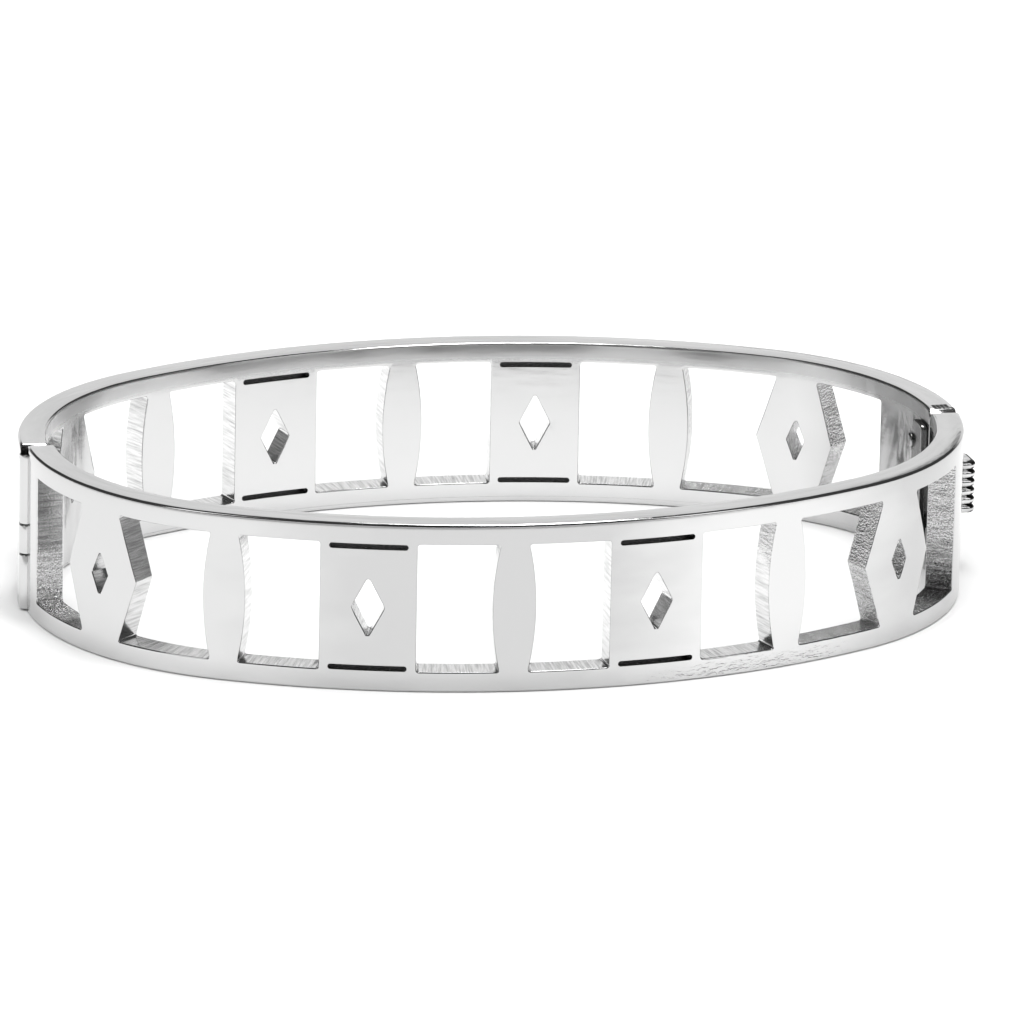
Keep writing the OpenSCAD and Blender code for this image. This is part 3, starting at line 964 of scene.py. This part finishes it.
# A lamp faces the bangle
def addLamp(name, place, spread, power):
    light = bpy.data.lights.new(name, "AREA")
    light.shape = "RECTANGLE"
    light.size, light.size_y = spread
    light.energy = power
    lamp = bpy.data.objects.new(name, light)
    bpy.context.collection.objects.link(lamp)
    seen = Matrix.Rotation(-math.radians(camera["turn"]), 3, "Z") @ Vector(place)
    lamp.location = seen
    lamp.rotation_euler = (-seen).to_track_quat("-Z", "Y").to_euler()


# The room, as its brightness by direction: a lit panel straight behind, the foot of a lit wall on both
# sides of it, white paper around the horizon, and dark elsewhere
room = {
    "panel": 0.93,
    "paper": 0.6,
    "dark": 0.06,
    # the part of the direction at which each is dark, and the part at which it is lit
    "panelHalf": (0.26, 0.08),    # sideways
    "panelDepth": (0.15, 0.4),    # away
    "wallDepth": (0.8, 0.9),      # away
    "wallTop": (0.36, 0.26),      # up
    "paperTop": (0.2, 0.05),      # up
}


def setWorld():
    world = bpy.data.worlds.new("room")
    bpy.context.scene.world = world
    world.use_nodes = True
    tree = world.node_tree
    tree.nodes.clear()
    direction = addNode(tree, "ShaderNodeTexCoord").outputs["Generated"]
    turned = addNode(tree, "ShaderNodeMapping", {"Rotation": (0, 0, math.radians(camera["turn"]))},
                     [("Vector", direction)])
    parts = addNode(tree, "ShaderNodeSeparateXYZ", None, [("Vector", turned)])

    def lit(value, edges, grey):
        settings = {"interpolation_type": "SMOOTHSTEP", "From Min": edges[0], "From Max": edges[1],
                    "To Max": grey}
        return addNode(tree, "ShaderNodeMapRange", settings, [("Value", value)]).outputs["Result"]

    sideways = addNode(tree, "ShaderNodeMath", {"operation": "ABSOLUTE"}, [(0, parts.outputs["X"])])
    panelAcross = lit(sideways, room["panelHalf"], room["panel"])
    panelAway = lit(parts.outputs["Y"], room["panelDepth"], 1.0)
    panel = addNode(tree, "ShaderNodeMath", times, [(0, panelAcross), (1, panelAway)])
    wallUp = lit(parts.outputs["Z"], room["wallTop"], room["panel"])
    wallAway = lit(parts.outputs["Y"], room["wallDepth"], 1.0)
    wall = addNode(tree, "ShaderNodeMath", times, [(0, wallUp), (1, wallAway)])
    horizon = lit(parts.outputs["Z"], room["paperTop"], room["paper"])
    bright = addNode(tree, "ShaderNodeMath", larger, [(0, panel), (1, wall)])
    bright = addNode(tree, "ShaderNodeMath", larger, [(0, bright), (1, horizon)])
    colour = addNode(tree, "ShaderNodeMath", larger, [(0, bright), (1, room["dark"])])
    background = addNode(tree, "ShaderNodeBackground", {"Strength": 1.0}, [("Color", colour)])
    addNode(tree, "ShaderNodeOutputWorld", None, [("Surface", background)])


def addCamera():
    data = bpy.data.cameras.new("camera")
    data.sensor_width = camera["sensor"]
    data.lens = camera["focalPixels"] / camera["imagePixels"] * camera["sensor"]
    data.clip_start, data.clip_end = 0.01, 20
    obj = bpy.data.objects.new("camera", data)
    bpy.context.collection.objects.link(obj)
    e = math.radians(camera["elevation"])
    right = Vector((1, 0, 0))
    up = Vector((0, math.sin(e), math.cos(e)))
    forward = Vector((0, math.cos(e), -math.sin(e)))
    place = right * camera["right"] + up * camera["up"] - forward * camera["distance"]
    roll = math.radians(camera["roll"])
    tiltedRight = right * math.cos(roll) + up * math.sin(roll)
    tiltedUp = up * math.cos(roll) - right * math.sin(roll)
    axes = Matrix((tiltedRight, tiltedUp, -forward)).transposed().to_4x4()
    turn = Matrix.Rotation(-math.radians(camera["turn"]), 4, "Z")
    centre = Matrix.Translation((shift * mm, 0, 0))
    obj.matrix_world = centre @ turn @ Matrix.Translation(place * mm) @ axes
    bpy.context.scene.camera = obj


addFloor()
setWorld()
for name, (place, spread, power) in lamps.items():
    addLamp(name, place, spread, power)
bpy.data.objects["fill"].visible_glossy = False    # it only lifts the shadows on the paper
addCamera()
bpy.context.scene.view_settings.view_transform = "Standard"
print("camera, floor and light set")
